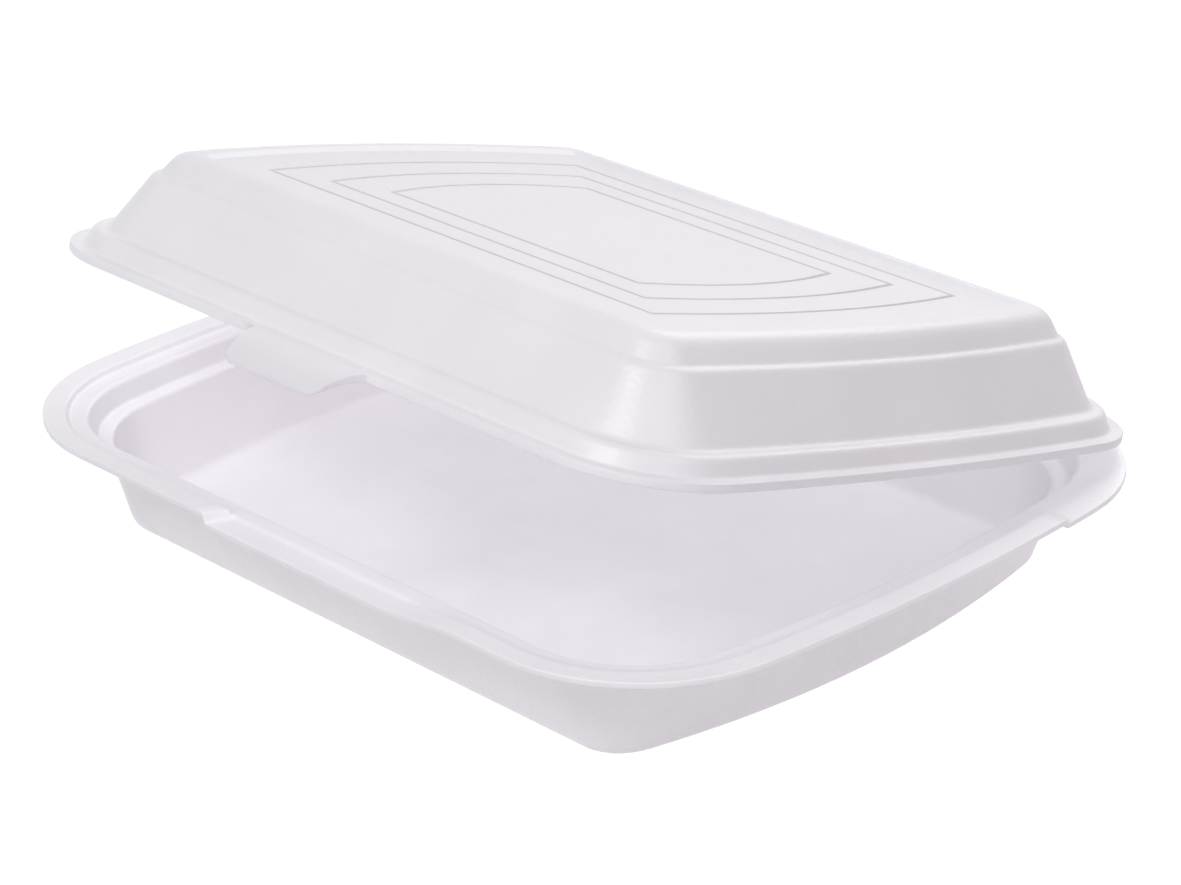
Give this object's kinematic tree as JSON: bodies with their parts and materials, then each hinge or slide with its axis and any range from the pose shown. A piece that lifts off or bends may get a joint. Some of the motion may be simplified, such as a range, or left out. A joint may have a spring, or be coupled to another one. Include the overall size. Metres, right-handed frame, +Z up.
{
  "type": "foam clamshell container",
  "caption": "Rectangular white foam meal box with bowed ends: a shallow tray with a raised rim and a deep hinged lid with a closing tab and concentric pressed outlines.",
  "frame": {"origin": "middle of the tray's flat bottom, on the surface it stands on", "axes": "+X along the crease and the long side, -Y towards the opening front with the tab, +Z up"},
  "size_m": [0.251, 0.2003, 0.0989],
  "materials": {
    "foam_tray": "white foamed polystyrene sheet, satin skin",
    "foam_lid": "white foamed polystyrene sheet, satin skin"
  },
  "bodies": {
    "tray": {"tray": "foam_tray"},
    "lid": {"lid": "foam_lid"}
  },
  "joints": [
    {"name": "lid_crease", "type": "hinge", "parent": "tray", "child": "lid", "pos_m": [0, 0.0995, 0.0302], "axis": [-1, 0, 0], "range_deg": [-13.5, 165]}
  ]
}
